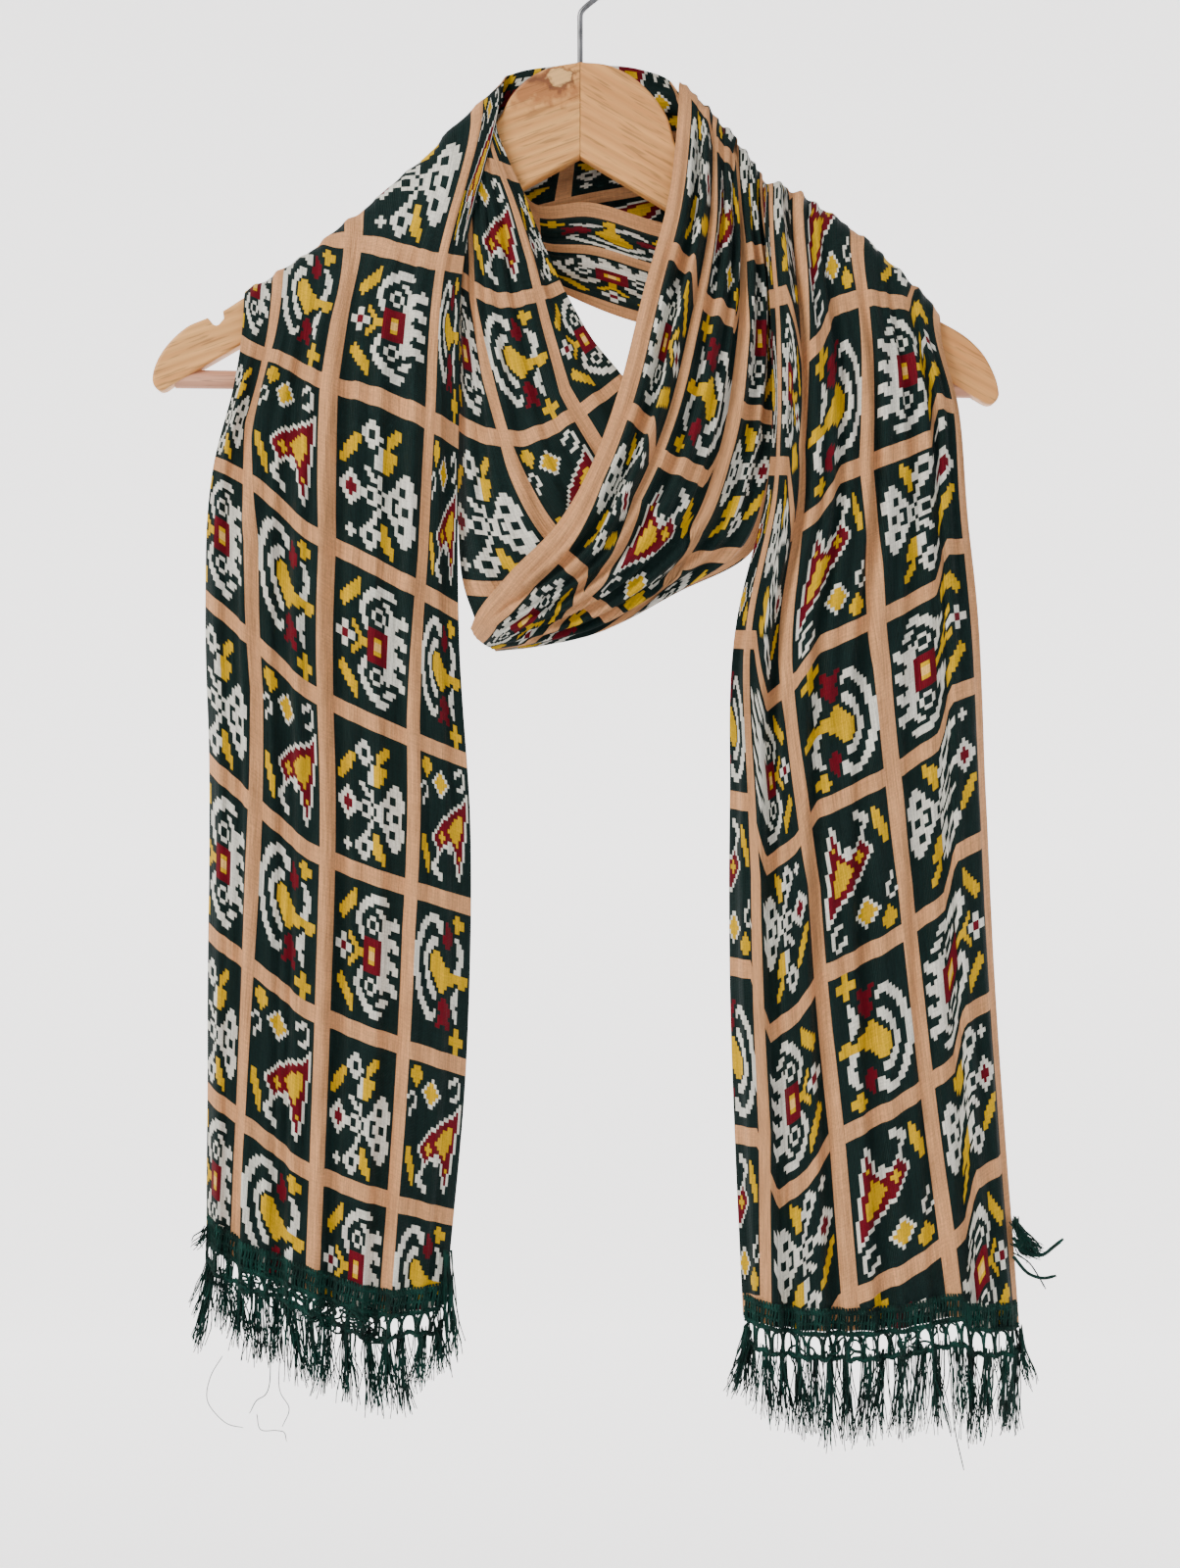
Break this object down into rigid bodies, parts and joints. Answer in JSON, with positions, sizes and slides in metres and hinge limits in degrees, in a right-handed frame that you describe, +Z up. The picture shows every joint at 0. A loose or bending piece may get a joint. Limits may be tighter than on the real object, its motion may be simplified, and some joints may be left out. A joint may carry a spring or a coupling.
{
  "type": "printed stole on a wooden coat hanger",
  "caption": "Long printed stole with braided, fringed ends, worn once round the neck of a wooden coat hanger with a trouser bar and a wire hook.",
  "frame": {"origin": "inner top of the hook's crook, where a rail carries it", "axes": "+Z up, the front of the stole towards -Y, the hanger's arms along X"},
  "size_m": [0.4558, 0.0711, 0.8096],
  "materials": {
    "printed_cloth": "thin cotton-silk, dark green with a tan grid and white, yellow and maroon figures",
    "braid": "matte dark green thread",
    "wood": "satin lacquer on light wood",
    "bar_wood": "satin, pinker than the plate",
    "wire": "polished"
  },
  "bodies": {
    "root": {"left_tail": "printed_cloth", "right_tail": "printed_cloth", "left_loop": "printed_cloth", "right_loop": "printed_cloth", "upper_neck_band": "printed_cloth", "lower_neck_band": "printed_cloth", "left_fringe": "braid", "right_fringe": "braid", "hanger_left": "wood", "hanger_right": "wood", "hanger_bar": "bar_wood", "hanger_hook": "wire"}
  },
  "joints": []
}
